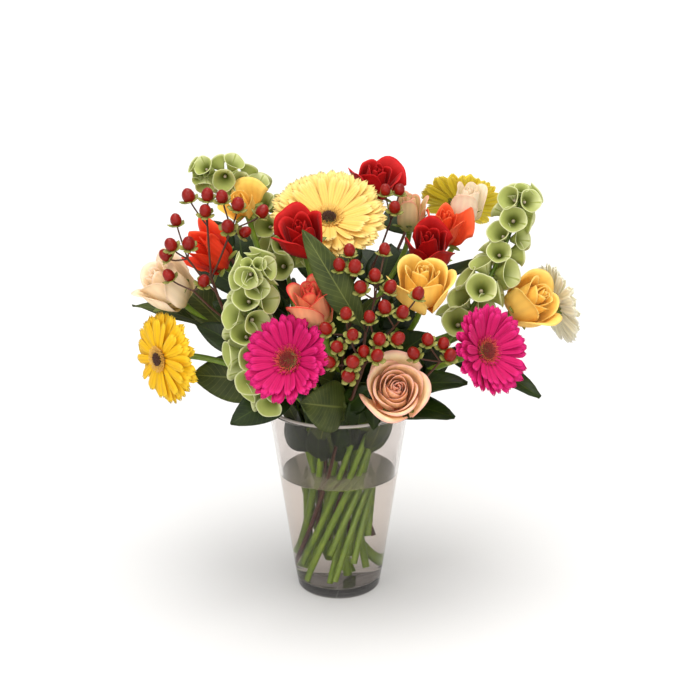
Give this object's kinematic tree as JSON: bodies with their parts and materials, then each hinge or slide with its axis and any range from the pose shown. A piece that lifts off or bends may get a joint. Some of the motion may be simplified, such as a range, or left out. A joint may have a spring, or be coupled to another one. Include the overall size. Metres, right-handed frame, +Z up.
{
  "type": "mixed flowers in a vase",
  "caption": "Mixed cut flowers, berries and foliage fanned out above a clear tapered glass vase that is part filled with water.",
  "frame": {"origin": "middle of the vase's underside, on the surface it stands on", "axes": "+Z up along the vase's axis, -Y towards the front of the arrangement, +X to the right seen from the front"},
  "size_m": [0.4489, 0.2994, 0.4393],
  "materials": {
    "glass": "clear polished glass",
    "water": "clear still water",
    "stem": "fresh green stem, satin",
    "leaf": "dark green leaf, satin",
    "bells": "veined light green calyx, matte",
    "berry": "glossy red berries on brown twigs",
    "cream_petal": "fresh petal, matte with a soft sheen",
    "pink_petal": "fresh petal, matte with a soft sheen",
    "yellow_petal": "fresh petal, matte with a soft sheen",
    "white_petal": "fresh petal, matte with a soft sheen",
    "lime_petal": "fresh petal, matte with a soft sheen",
    "coral_petal": "fresh petal, matte with a soft sheen",
    "peach_petal": "fresh petal, matte with a soft sheen",
    "red_petal": "fresh petal, matte with a soft sheen",
    "orange_petal": "fresh petal, matte with a soft sheen",
    "ivory_petal": "fresh petal, matte with a soft sheen",
    "blush_petal": "fresh petal, matte with a soft sheen"
  },
  "bodies": {
    "root": {"bells_left_back": "bells", "bells_left_front": "bells", "bells_right": "bells", "gerbera_cream": "cream_petal", "gerbera_cream_stem": "stem", "gerbera_lime": "lime_petal", "gerbera_lime_stem": "stem", "gerbera_pink_left": "pink_petal", "gerbera_pink_left_stem": "stem", "gerbera_pink_right": "pink_petal", "gerbera_pink_right_stem": "stem", "gerbera_white": "white_petal", "gerbera_white_stem": "stem", "gerbera_yellow": "yellow_petal", "gerbera_yellow_stem": "stem", "hypericum_centre": "berry", "hypericum_left": "berry", "hypericum_right": "berry", "hypericum_top": "berry", "leaves_back": "leaf", "leaves_back_left": "leaf", "leaves_back_right": "leaf", "rose_coral": "coral_petal", "rose_coral_stem": "stem", "rose_cream": "cream_petal", "rose_cream_bud": "blush_petal", "rose_cream_bud_stem": "stem", "rose_cream_stem": "stem", "rose_orange_centre": "orange_petal", "rose_orange_centre_stem": "stem", "rose_orange_left": "orange_petal", "rose_orange_left_stem": "stem", "rose_peach": "peach_petal", "rose_peach_stem": "stem", "rose_red_centre": "red_petal", "rose_red_centre_stem": "stem", "rose_red_front": "red_petal", "rose_red_front_stem": "stem", "rose_red_top": "red_petal", "rose_red_top_stem": "stem", "rose_white_bud": "ivory_petal", "rose_white_bud_stem": "stem", "rose_yellow_back": "yellow_petal", "rose_yellow_back_stem": "stem", "rose_yellow_front": "yellow_petal", "rose_yellow_front_stem": "stem", "rose_yellow_right": "yellow_petal", "rose_yellow_right_stem": "stem", "vase": "glass", "water": "water"}
  },
  "joints": []
}
